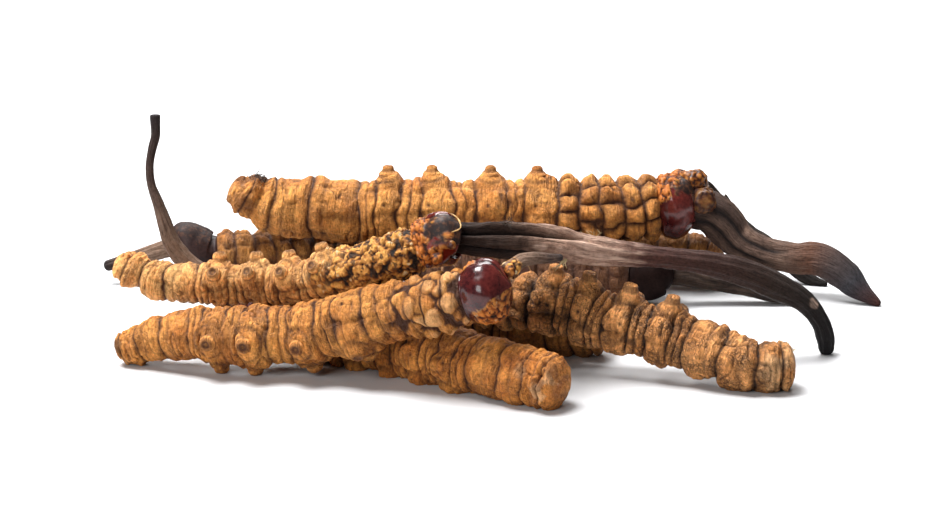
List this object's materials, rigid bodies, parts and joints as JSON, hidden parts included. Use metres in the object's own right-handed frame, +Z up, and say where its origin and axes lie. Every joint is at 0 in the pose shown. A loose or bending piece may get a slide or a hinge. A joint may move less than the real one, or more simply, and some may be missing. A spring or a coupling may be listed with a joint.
{
  "type": "cordyceps bundle",
  "caption": "Loose pile of dried larva fungi: ringed tan larvae with stubby legs, dark red heads and dark bent stalks, lying across each other on a surface.",
  "frame": {"origin": "on the resting surface, below the middle of the pile's box", "axes": "+X to the right along the pile, +Y to its back, +Z up"},
  "size_m": [0.091, 0.064, 0.0248],
  "materials": {
    "larva_skin": "dry matt tan skin, ringed and finely grained, browner in the creases",
    "head_capsule": "glossy dark red horn, patched with black and tan crust",
    "stalk_fibre": "dry fibrous dark brown, grooved lengthwise, greyer where worn"
  },
  "bodies": {
    "root": {"front_left_larva": "larva_skin", "front_left_head": "head_capsule", "front_left_stalk": "stalk_fibre", "upper_left_larva": "larva_skin", "upper_left_head": "head_capsule", "upper_left_stalk": "stalk_fibre", "top_larva": "larva_skin", "top_head": "head_capsule", "top_stalk": "stalk_fibre", "top_second_stalk": "stalk_fibre", "right_larva": "larva_skin", "right_head": "head_capsule", "right_stalk": "stalk_fibre", "front_larva": "larva_skin", "front_head": "head_capsule", "front_stalk": "stalk_fibre", "back_left_larva": "larva_skin", "back_left_head": "head_capsule", "back_left_stalk": "stalk_fibre", "middle_larva": "larva_skin", "middle_head": "head_capsule", "middle_stalk": "stalk_fibre", "rear_larva": "larva_skin", "rear_head": "head_capsule", "rear_stalk": "stalk_fibre", "back_right_larva": "larva_skin", "back_right_head": "head_capsule", "back_right_stalk": "stalk_fibre"}
  },
  "joints": []
}
